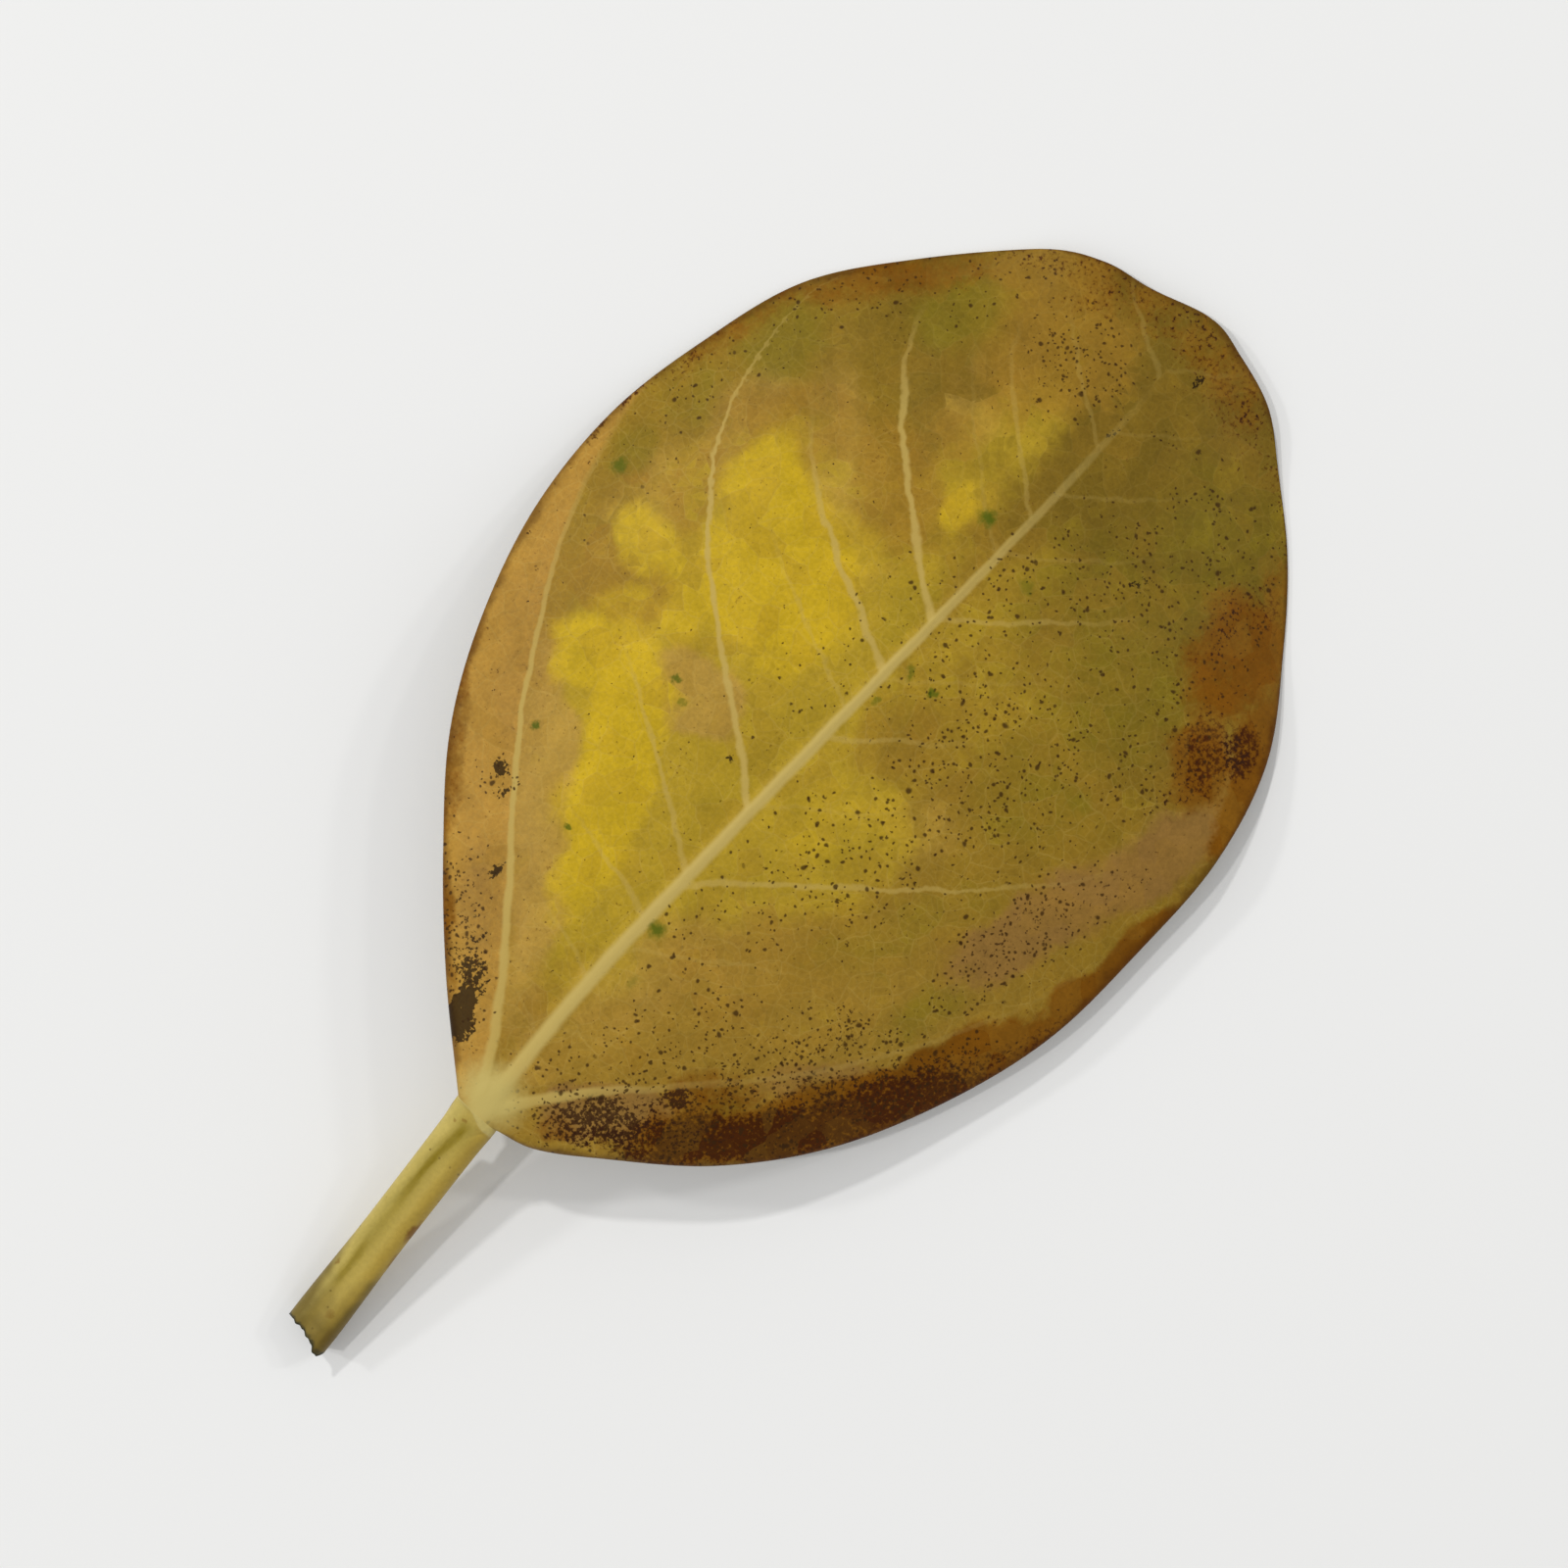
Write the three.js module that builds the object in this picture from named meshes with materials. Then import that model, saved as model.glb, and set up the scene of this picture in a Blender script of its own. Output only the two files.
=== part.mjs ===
// A fallen fig leaf lying face up: a broad leathery blade, arched along its midrib, and the stout stalk it
// grew on. It is one solid, grown in one piece, that rests on the cut end of its stalk and on two stretches
// of its margin.
// Millimetres, +Z up. The leaf is drawn with x from the stalk's junction to the tip and y to the left of
// the midrib, and is then centred over the origin, with its lowest faces on z = 0.

import * as THREE from "three";

// Driving dimensions
const bladeThickness = 0.55;
const ribDepth = { base: 4.6, tip: 0.4 }; // how far the midrib stands out under the blade
const ribHalfWidth = { base: 2.5, tip: 0.8 };
const marginRoll = 0.7; // how far the last of the blade turns down
const rollSharpness = 12; // the higher, the narrower the strip that turns down
const tipBluntness = 3; // the higher, the later the rows bend to the tip's own edge
const stalk = {
  length: 34,
  halfWidth: { junction: 2.9, end: 2.6 },
  halfHeight: { junction: 2.6, end: 2.5 },
  endOffset: -4.9, // y of the cut end
  endHeight: 2.35, // z of the cut end's centre, a little less than its half height, so it rests on a flat
  grooveDepth: 0.7,
  grooveSharpness: 8, // the higher, the narrower the groove
  roundWithin: 0.3, // share of its length in which it turns from the blade's section to a round one
};

// Grid of the skin
const ribColumns = 4; // from the middle of the midrib to its edge
const bladeColumns = 7; // from there to the margin
const sideColumns = ribColumns + bladeColumns;
const columnCrowding = 1.4; // over 1, the columns stand closer together towards the margin
const bladeRows = 44;
const stalkRows = 14;

// Points on the underside, x, y and the height z above the surface that the leaf lies on. Below it, the
// leaf is pressed flat.
const junction = [-2.5, -1.5, 11.7];
const tip = [123.4, 0.5, 1.5];
const midribLine = [junction, [20, 0, 14.0], [46, 0, 14.2], [72, -0.2, 11.4], [98, -0.3, 6.3], tip];
const leftShoulder = [115.5, 21, 0.4];
const leftMargin = [
  [-2.5, 1.5, 11.0], [6.5, 12, 11.2], [16.5, 22, 11.2], [27, 31, 10.9], [39, 37.6, 9.2], [52.5, 42.4, 5.4],
  [66.7, 44, 2.4], [80.2, 42.2, 0.8], [93.5, 38.5, -0.4], [105, 30.5, -1.8], leftShoulder,
];
const rightShoulder = [116.5, -17, 0.5];
const rightMargin = [
  [-2.5, -4.5, 10.4], [-1.2, -9, 10.0], [3, -15, 9.8], [11.5, -25.5, 8.4], [22.3, -34.2, 5.9],
  [35.4, -40.4, 4.1], [49, -44, 3.6], [63.2, -44.5, 3.7], [77.2, -43.8, 4.0], [90.2, -40.2, 1.9],
  [101.5, -32.5, -0.2], [110, -25, -1.2], rightShoulder,
];
const leftTip = [tip, [121, 8, 1.3], [119.5, 14.5, 1.0], leftShoulder];
const rightTip = [tip, [122.5, -5, 1.4], [120.5, -11.5, 1.0], rightShoulder];

const leafColour = "#8f7a2c";

// A curve through points, read by the share of its length.
function curveThrough(points) {
  return new THREE.CatmullRomCurve3(points.map((point) => new THREE.Vector3(...point)), false, "catmullrom");
}

const midrib = curveThrough(midribLine);
const sides = {
  left: { margin: curveThrough(leftMargin), tipEdge: curveThrough(leftTip) },
  right: { margin: curveThrough(rightMargin), tipEdge: curveThrough(rightTip) },
};

const mix = THREE.MathUtils.lerp;

// The underside of the sheet without its midrib. along runs 0 to 1 from the stalk to the tip, and column
// from -sideColumns at the right margin through 0 on the midrib to sideColumns at the left margin.
function sheetPoint(along, column) {
  const side = column >= 0 ? sides.left : sides.right;
  const centre = midrib.getPointAt(along);
  const edge = side.margin.getPointAt(along);
  const out = shareOut(along, Math.abs(column), Math.abs(edge.y - centre.y));
  const point = centre.clone().lerp(edge, out);
  // the blunt tip: the last rows bend from the straight line to the tip's own edge
  const straightTip = midrib.getPointAt(1).lerp(side.margin.getPointAt(1), out);
  const tipBend = side.tipEdge.getPointAt(out).sub(straightTip);
  point.addScaledVector(tipBend, along ** tipBluntness);
  // across the leaf the blade is an arch that steepens towards a margin that rolls down
  const arch = (centre.z - edge.z) * (out - out ** 2);
  const roll = marginRoll * (out ** 2 - out ** rollSharpness) * (1 - along ** tipBluntness);
  point.z += arch + roll;
  point.z = Math.max(0, point.z);
  return point;
}

// A column's share of the way from the midrib to the margin: the first columns keep to the midrib, and the
// last ones stand closer together.
function shareOut(along, column, halfSpan) {
  const ribEdge = mix(ribHalfWidth.base, ribHalfWidth.tip, Math.sqrt(along)) / halfSpan;
  if (column <= ribColumns) return ribEdge * Math.sin((column / ribColumns) * (Math.PI / 2));
  return mix(1, ribEdge, ((sideColumns - column) / bladeColumns) ** columnCrowding);
}

// How far the rounded midrib hangs below the sheet.
function ribDrop(along, column) {
  if (column >= ribColumns) return 0;
  return mix(ribDepth.base, ribDepth.tip, Math.sqrt(along)) * Math.cos((column / ribColumns) * (Math.PI / 2));
}

// One ring of the skin round the blade: over the top from left to right, then back underneath.
function bladeRing(along) {
  const over = [];
  const under = [];
  for (let column = sideColumns; column >= -sideColumns; column--) {
    const { x, y, z } = sheetPoint(along, column);
    over.push([x, y, z + bladeThickness]);
    under.unshift([x, y, Math.max(0, z - ribDrop(along, Math.abs(column)))]);
  }
  return [...over, ...under];
}

// One ring of the stalk, back 0 at the junction and 1 at the cut end. It leaves the blade as the blade's
// own first ring and turns round on the way.
function stalkRing(back, firstBladeRing) {
  const junctionZ = junction[2] + bladeThickness - stalk.halfHeight.junction;
  const centreX = junction[0] - stalk.length * back;
  const centreY = mix(junction[1], stalk.endOffset, back);
  const centreZ = mix(junctionZ, stalk.endHeight, back);
  const halfWidth = mix(stalk.halfWidth.junction, stalk.halfWidth.end, back);
  const halfHeight = mix(stalk.halfHeight.junction, stalk.halfHeight.end, back);
  const round = THREE.MathUtils.smoothstep(back, 0, stalk.roundWithin);
  return firstBladeRing.map(([, y, z], index) => {
    const angle = (2 * Math.PI * (index + 0.5)) / firstBladeRing.length;
    const groove = stalk.grooveDepth * Math.max(0, Math.sin(angle)) ** stalk.grooveSharpness;
    const roundY = centreY + halfWidth * Math.cos(angle);
    const roundZ = centreZ + halfHeight * Math.sin(angle) - groove;
    const flatY = y - junction[1] + centreY;
    const flatZ = z - junctionZ + centreZ;
    return [centreX, mix(flatY, roundY, round), Math.max(0, mix(flatZ, roundZ, round))];
  });
}

// The closed skin: a tube of rings from the cut end of the stalk to the tip, with a face over the cut and
// a strip that joins its top and bottom rows along the tip.
function leafGeometry() {
  const firstBladeRing = bladeRing(0);
  const rings = [];
  for (let row = stalkRows; row >= 1; row--) {
    rings.push(stalkRing(row / stalkRows, firstBladeRing));
  }
  rings.push(firstBladeRing);
  for (let row = 1; row <= bladeRows; row++) {
    rings.push(bladeRing(row / bladeRows));
  }

  const ringSize = firstBladeRing.length;
  const positions = rings.flat(2);
  const faces = [];
  for (let ring = 0; ring < rings.length - 1; ring++) {
    for (let place = 0; place < ringSize; place++) {
      const here = ring * ringSize + place;
      const beside = ring * ringSize + ((place + 1) % ringSize);
      faces.push(here, beside, here + ringSize, beside, beside + ringSize, here + ringSize);
    }
  }

  const cutCentre = rings[0].reduce((sum, [x, y, z]) => [sum[0] + x, sum[1] + y, sum[2] + z], [0, 0, 0]);
  positions.push(...cutCentre.map((total) => total / ringSize));
  const cutIndex = positions.length / 3 - 1;
  for (let place = 0; place < ringSize; place++) {
    faces.push((place + 1) % ringSize, place, cutIndex);
  }

  const tipRow = (rings.length - 1) * ringSize;
  for (let column = 0; column < 2 * sideColumns; column++) {
    const top = tipRow + column;
    const bottom = tipRow + ringSize - 1 - column;
    faces.push(top, top + 1, bottom - 1, top, bottom - 1, bottom);
  }

  const geometry = new THREE.BufferGeometry();
  geometry.setAttribute("position", new THREE.Float32BufferAttribute(positions, 3));
  geometry.setIndex(faces);
  geometry.computeVertexNormals();
  return geometry;
}

const leaf = new THREE.Mesh(
  leafGeometry(),
  new THREE.MeshStandardMaterial({ color: leafColour, roughness: 0.5, metalness: 0 }),
);
leaf.name = "leaf";

const group = new THREE.Group();
group.add(leaf);
const box = new THREE.Box3().setFromObject(group);
const middle = box.getCenter(new THREE.Vector3());
group.position.set(-middle.x, -middle.y, -box.min.z);

export default group;
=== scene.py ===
import math

import bpy
import numpy as np
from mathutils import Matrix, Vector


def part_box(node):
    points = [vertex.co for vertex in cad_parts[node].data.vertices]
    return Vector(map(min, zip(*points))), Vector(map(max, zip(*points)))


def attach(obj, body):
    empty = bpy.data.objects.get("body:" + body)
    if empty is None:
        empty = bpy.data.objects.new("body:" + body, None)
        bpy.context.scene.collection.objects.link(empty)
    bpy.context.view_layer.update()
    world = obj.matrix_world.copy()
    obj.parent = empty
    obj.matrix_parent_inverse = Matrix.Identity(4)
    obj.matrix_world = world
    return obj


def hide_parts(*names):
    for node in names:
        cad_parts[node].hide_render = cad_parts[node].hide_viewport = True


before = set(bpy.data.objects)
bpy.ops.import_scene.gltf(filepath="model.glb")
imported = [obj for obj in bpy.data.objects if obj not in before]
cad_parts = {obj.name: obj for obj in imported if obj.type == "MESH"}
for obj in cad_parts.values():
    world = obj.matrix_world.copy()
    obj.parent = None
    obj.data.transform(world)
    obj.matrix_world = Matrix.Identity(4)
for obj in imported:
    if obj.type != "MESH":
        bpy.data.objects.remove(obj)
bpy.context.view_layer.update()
mm = 0.001

bladeShape = {
    "midribLength": 125.9,
    "thickness": 0.5,
    "edgeRound": 0.35,              # radius of its rounded edge
    "restSoftness": 0.35,           # how softly the blade flattens where it meets the floor
    "ribDepth": (4.6, 0.35),        # under the blade, at the junction and at the tip
    "ribHalfWidth": (2.5, 0.8),
    "marginRoll": 0.7,              # how far the last of the blade turns down
    "rollSharpness": 12,
    "tipBluntness": 3,
    "quilting": 0.35,               # how far the blade swells between its lateral veins
    "undulation": 0.35,             # slow waves of a leaf that has begun to dry
    "undulationSize": 26,
    "ripple": 0.12,
    "rippleSize": 9,
    "hubSwelling": 0.55,            # the cushion where the three main veins meet
    "hubPlace": (0.8, -1.2),
    "hubSize": (3.2, 3.6),
    "ribCrest": 0.22,               # how far the midrib stands over the blade, and the dip beside it
    "ribDip": 0.10,
    "veinHeight": 0.55,             # under the blade
    "veinWidth": 0.75,
    "basalHeight": 0.9,
    "basalWidth": 0.9,
    "basalAbove": 0.10,             # what is left of them on the upper face
    "veinAbove": 0.05,
    "rows": 205,
    "ribColumns": 10,               # on each side of the middle
    "bladeColumns": 55,
    "edgeColumns": (1.3, 0.7, 0.35, 0.12, 0.0),   # from the margin, where its edge is rounded
}

stalkShape = {
    "length": 34.0,
    "halfWidth": (2.85, 2.75),      # at the junction and at the cut end
    "endFlare": 0.12,
    "halfHeight": (2.5, 2.4),
    "endOffset": -4.9,
    "endHeight": 2.35,
    "groove": 0.5,
    "roundWithin": 0.11,            # share of its length in which its section turns round
    "ledge": 0.5,                   # how far the blade's base stands over the stalk
    "rows": 62,
    "rowCrowding": 1.4,             # rows lie closer near the blade
    "tornLength": 3.0,
    "cutAcross": (-1, -0.85, -0.6, -0.3, 0, 0.3, 0.7, 0.88, 1),    # right edge, middle, left edge
    "cutOut": (0.5, 0.95, 0.7, 0.1, -0.2, -0.3, -0.45, -0.4, -0.05),
    # how the torn face sinks in: its size as a share of the section, then how much deeper it lies
    "cutSteps": ((0.95, 0.02), (0.86, 0.30), (0.70, 0.12), (0.45, -0.10), (0.18, -0.06)),
}

junction = (-2.5, -1.5, 11.7)
tip = (123.4, 0.5, 1.5)
leftShoulder = (115.5, 21, 0.4)
rightShoulder = (116.5, -17, 0.5)
midribPoints = [junction, (20, 0, 14.0), (46, 0, 14.2), (72, -0.2, 11.4), (98, -0.3, 6.3), tip]
leftPoints = [
    (-2.5, 1.5, 11.0), (6.5, 12, 11.2), (16.5, 22, 11.2), (27, 31, 10.9), (39, 37.6, 9.2),
    (52.5, 42.4, 5.4), (66.7, 44, 2.4), (80.2, 42.2, 0.8), (93.5, 38.5, -0.4), (105, 30.5, -1.8),
    leftShoulder,
]
rightPoints = [
    (-2.5, -4.5, 10.4), (-1.2, -9, 10.0), (3, -15, 9.8), (11.5, -25.5, 8.4), (22.3, -34.2, 5.9),
    (35.4, -40.4, 4.1), (49, -44, 3.6), (63.2, -44.5, 3.7), (77.2, -43.8, 4.0), (90.2, -40.2, 1.9),
    (101.5, -32.5, -0.2), (110, -25, -1.2), rightShoulder,
]
leftTipPoints = [tip, (121, 8, 1.3), (119.5, 14.5, 1.0), leftShoulder]
rightTipPoints = [tip, (122.5, -5, 1.4), (120.5, -11.5, 1.0), rightShoulder]

# Lateral veins: where each leaves the midrib, how far it sweeps forward and how far it hooks forward at
# the margin, all as shares of the midrib, then its strength and how far out it is seen.
lateralVeins = {
    "left": [
        (0.09, 0.08, 0.00, 0.15, 0.5), (0.16, 0.10, 0.00, 0.25, 0.5), (0.235, 0.11, 0.00, 0.40, 0.5),
        (0.288, 0.24, 0.16, 0.55, 0.6), (0.365, 0.31, 0.18, 1.00, 0.95), (0.492, 0.20, 0.18, 0.30, 0.5),
        (0.539, 0.22, 0.18, 0.85, 0.6), (0.604, 0.30, 0.10, 0.95, 0.68), (0.690, 0.28, 0.10, 0.15, 0.5),
        (0.738, 0.28, 0.08, 0.30, 0.5), (0.830, 0.22, 0.04, 0.20, 0.5),
    ],
    "right": [
        (0.10, 0.16, 0.02, 0.10, 0.5), (0.19, 0.30, 0.02, 0.20, 0.5), (0.272, 0.378, 0.04, 0.60, 0.75),
        (0.370, 0.36, 0.08, 0.15, 0.4), (0.457, 0.345, 0.10, 0.45, 0.3), (0.530, 0.34, 0.10, 0.15, 0.4),
        (0.606, 0.33, 0.08, 0.45, 0.4), (0.690, 0.28, 0.06, 0.15, 0.4), (0.770, 0.24, 0.04, 0.15, 0.4),
        (0.850, 0.20, 0.02, 0.10, 0.4),
    ],
}
basalVeins = {"left": (0.648, 2.41), "right": (0.63, 2.46)}   # along = a * out ** b


# A smooth line, read by the share of its length; before and after say where it comes from and goes to.
def curveThrough(points, before=None, after=None):
    points = np.array(points, float)
    before = 2 * points[0] - points[1] if before is None else before
    after = 2 * points[-1] - points[-2] if after is None else after
    ends = np.vstack([before, points, after])
    samples = []
    for start in range(len(points) - 1):
        earlier, here, there, later = ends[start:start + 4]
        u = np.linspace(0, 1, 60)[:, None]
        leave, arrive = (there - earlier) / 2, (later - here) / 2
        samples.append(
            here + leave * u
            + (3 * (there - here) - 2 * leave - arrive) * u ** 2
            + (2 * (here - there) + leave + arrive) * u ** 3
        )
    line = np.vstack(samples)
    reach = np.concatenate([[0], np.cumsum(np.linalg.norm(np.diff(line, axis=0), axis=1))])
    reach /= reach[-1]
    return lambda share: np.stack([np.interp(share, reach, line[:, axis]) for axis in range(3)], -1)


def mix(start, end, share):
    return start + (end - start) * share


def smoothStep(value, low, high):
    share = np.clip((value - low) / (high - low), 0, 1)
    return share * share * (3 - 2 * share)


midrib = curveThrough(midribPoints)
sides = {
    "left": {
        "sign": 1,
        "margin": curveThrough(leftPoints, after=leftTipPoints[-2]),
        "tipEdge": curveThrough(leftTipPoints, before=rightTipPoints[1], after=leftPoints[-2]),
    },
    "right": {
        "sign": -1,
        "margin": curveThrough(rightPoints, after=rightTipPoints[-2]),
        "tipEdge": curveThrough(rightTipPoints, before=leftTipPoints[1], after=rightPoints[-2]),
    },
}


def columnShares(along, span):    # how far out each column lies, 0 on the midrib, 1 on the margin
    shape = bladeShape
    ribEdge = mix(*shape["ribHalfWidth"], np.sqrt(along)) / span
    turn = np.linspace(0, math.pi / 2, shape["ribColumns"] + 1)
    onRib = ribEdge[:, None] * np.sin(turn)[None, :]
    edge = np.array(shape["edgeColumns"])
    crowd = np.minimum(1, (1 - ribEdge) * span / (3 * edge[0]))    # where the blade is narrow
    nearMargin = 1 - crowd[:, None] * edge[None, :] / span[:, None]
    steps = np.linspace(0, 1, shape["bladeColumns"] + 1)[1:-1]
    between = mix(onRib[:, -1:], nearMargin[:, :1], steps[None, :])
    return np.hstack([onRib, between, nearMargin])


def veinField(side, along, out):    # which lateral vein is near, how far apart they are, how strong
    veins = np.array(lateralVeins[side])
    start, sweep, hook, strength, reach = [veins[:, column][:, None, None] for column in range(5)]
    places = start + sweep * out + hook * out ** 5
    places = np.maximum.accumulate(places + np.arange(len(veins))[:, None, None] * 1e-4, axis=0)
    count = len(veins)
    below = np.clip((places < along).sum(axis=0) - 1, 0, count - 2)
    low = np.take_along_axis(places, below[None], 0)[0]
    high = np.take_along_axis(places, below[None] + 1, 0)[0]
    gap = np.maximum(high - low, 0.004)
    place = below + (along - low) / gap
    nearest = np.clip(np.round(place), 0, count - 1).astype(int)
    slope = (sweep + 5 * hook * out ** 4)
    slant = np.take_along_axis(np.broadcast_to(slope, places.shape), nearest[None], 0)[0]
    return place, gap, slant, strength[:, 0, 0][nearest], reach[:, 0, 0][nearest], nearest


def bladeSide(name, along):    # one side of the sheet's underside, and what its surface patterns read
    side = sides[name]
    shape = bladeShape
    centre = midrib(along)
    edge = side["margin"](along)
    span = np.abs(edge[:, 1] - centre[:, 1])
    out = columnShares(along, span)
    points = mix(centre[:, None, :], edge[:, None, :], out[:, :, None])
    straight = mix(midrib(1.0), side["margin"](1.0), out[:, :, None])
    late = (along ** shape["tipBluntness"])[:, None]
    points += (side["tipEdge"](out) - straight) * late[:, :, None]
    arch = (centre[:, 2] - edge[:, 2])[:, None] * (out - out ** 2)
    roll = shape["marginRoll"] * (out ** 2 - out ** shape["rollSharpness"]) * (1 - late)
    points[:, :, 2] += arch + roll

    length = shape["midribLength"]
    place, gap, slant, strength, reach, nearest = veinField(name, along[:, None], out)
    crossing = span[:, None] / np.hypot(span[:, None], length * slant)    # sine of the vein's lean
    apart = np.abs(place - nearest) * gap * length * crossing
    rise, power = basalVeins[name]
    basalAlong = rise * out ** power
    basalSlope = rise * power * np.maximum(out, 0.15) ** (power - 1)
    basalCrossing = span[:, None] / np.hypot(span[:, None], length * basalSlope)
    fromBasal = (basalAlong - along[:, None]) * length * basalCrossing    # negative towards the tip
    fields = {
        "veinPlace": place,
        "veinGap": gap * length * crossing,
        "veinStrength": strength,
        "veinReach": reach,
        "outShare": out,
        "alongShare": np.broadcast_to(along[:, None], out.shape),
        "fromBasal": fromBasal,
        "fromVein": apart,
        "sideSign": np.full(out.shape, float(side["sign"])),
    }
    return points, fields


def wholeSheet(along):    # right margin first, then the midrib, then the left margin
    leftPart, leftFields = bladeSide("left", along)
    rightPart, rightFields = bladeSide("right", along)
    points = np.concatenate([leftPart[:, ::-1], rightPart[:, 1:]], axis=1)
    fields = {
        key: np.concatenate([leftFields[key][:, ::-1], rightFields[key][:, 1:]], axis=1)
        for key in leftFields
    }
    return points, fields


def slowNoise(x, y, size, seed):    # smooth waves from a few sines whose directions come from a seed
    random = np.random.default_rng(seed)
    total = np.zeros_like(x)
    waves = 7
    for _ in range(waves):
        angle, phase = random.uniform(0, 2 * math.pi), random.uniform(0, 2 * math.pi)
        stretch = random.uniform(0.7, 1.5)
        along = x * math.cos(angle) + y * math.sin(angle)
        total += np.sin(along * 2 * math.pi / (size * stretch) + phase)
    return total / waves


def leafGrid():
    shape = bladeShape
    length = shape["midribLength"]
    tipRows = 1 - np.array([0.9, 0.45, 0.15, 0.0]) / length    # close rows round the tip's edge
    along = np.concatenate([np.linspace(0, 1 - 1.6 / length, shape["rows"]), tipRows])
    sheet, fields = wholeSheet(along)
    out = fields["outShare"]
    row = along[:, None]
    x, y = sheet[:, :, 0], sheet[:, :, 1]

    # slow waves and the swelling between the veins, which die away where the leaf is held by its base
    veinSwell = 1 - np.exp(-(fields["fromVein"] / 3.0) ** 2) * (0.3 + 0.7 * fields["veinStrength"])
    basalSwell = 1 - np.exp(-(fields["fromBasal"] / 2.5) ** 2)
    calm = smoothStep(row, 0.02, 0.2) * (1 - out ** 6) * np.minimum(1, out * 3)
    lift = shape["quilting"] * veinSwell * basalSwell * calm
    waves = shape["undulation"] * slowNoise(x, y, shape["undulationSize"], 4)
    lift = lift + waves * smoothStep(row, 0.05, 0.3) * np.minimum(1, out * 2)
    lift = lift + shape["ripple"] * slowNoise(x, y, shape["rippleSize"], 8) * calm
    low = sheet[:, :, 2] + lift
    soft = shape["restSoftness"]
    low = np.where(low > 4 * soft, low, soft * np.log1p(np.exp(low / soft)))

    # the edge of the blade is rounded
    span = np.abs(y - midrib(along)[:, None, 1])
    edgeSpan = np.maximum(span[:, :1], 1e-3) * (y > 0) + np.maximum(span[:, -1:], 1e-3) * (y <= 0)
    fromEdge = (1 - out) * edgeSpan
    fromTip = (1 - row) * length + 0 * out
    fromEdge = np.minimum(fromEdge, fromTip)
    roundness = np.sqrt(np.clip(1 - (1 - np.clip(fromEdge / shape["edgeRound"], 0, 1)) ** 2, 0.03, 1))
    thickness = shape["thickness"] * roundness
    middle = low + shape["thickness"] / 2
    over = middle + thickness / 2
    under = middle - thickness / 2

    # the midrib below, and the shallow channel it leaves above
    columns = shape["ribColumns"]
    middleColumn = sheet.shape[1] // 2
    steps = np.abs(np.arange(sheet.shape[1]) - middleColumn)
    ribArc = np.where(steps < columns, np.cos(np.minimum(steps, columns) / columns * math.pi / 2), 0)
    depth = mix(*shape["ribDepth"], np.sqrt(row))
    under = under - depth * ribArc[None, :]
    ribHalf = mix(*shape["ribHalfWidth"], np.sqrt(row))
    signed = y - midrib(along)[:, None, 1]
    beside = np.exp(-(np.abs(signed) - ribHalf * 0.75) ** 2 / 0.5)
    crest = np.exp(-(signed / (ribHalf * 0.55)) ** 2)
    fade = 1 - smoothStep(row, 0.55, 0.9)
    raised = shape["ribCrest"] * crest - shape["ribDip"] * beside
    over = over + raised * fade * smoothStep(row, 0.0, 0.05)
    hubX, hubY = shape["hubPlace"]
    hubLong, hubWide = shape["hubSize"]
    hub = np.exp(-((x - hubX) / hubLong) ** 2 - ((y - hubY) / hubWide) ** 2)
    over = over + shape["hubSwelling"] * hub * smoothStep(fromEdge, 0.0, 1.2)

    # lateral and basal veins stand out below and are faint above
    taper = np.clip(1.1 - out, 0.15, 1)
    taper = taper * smoothStep(fromEdge, 0.6, 4)
    veinHeight = shape["veinHeight"] * np.sqrt(fields["veinStrength"]) * taper
    ridge = veinHeight * np.exp(-(fields["fromVein"] / shape["veinWidth"]) ** 2)
    inside = smoothStep(-fields["fromBasal"], -0.5, 0.5)
    basalHeight = shape["basalHeight"] * np.clip(1.15 - row * 1.6, 0.1, 1) * smoothStep(fromEdge, 0.4, 3)
    basal = basalHeight * np.exp(-(fields["fromBasal"] / shape["basalWidth"]) ** 2)
    under = under - np.maximum(ridge * inside, basal)
    over = over + shape["basalAbove"] * basal / shape["basalHeight"] + shape["veinAbove"] * ridge * inside
    under = np.maximum(under, 0)

    top = np.stack([x, y, over], -1)
    bottom = np.stack([x, y, under], -1)
    fields["fromMargin"] = fromEdge
    fields["fromMidrib"] = signed
    return top, bottom, fields


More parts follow.
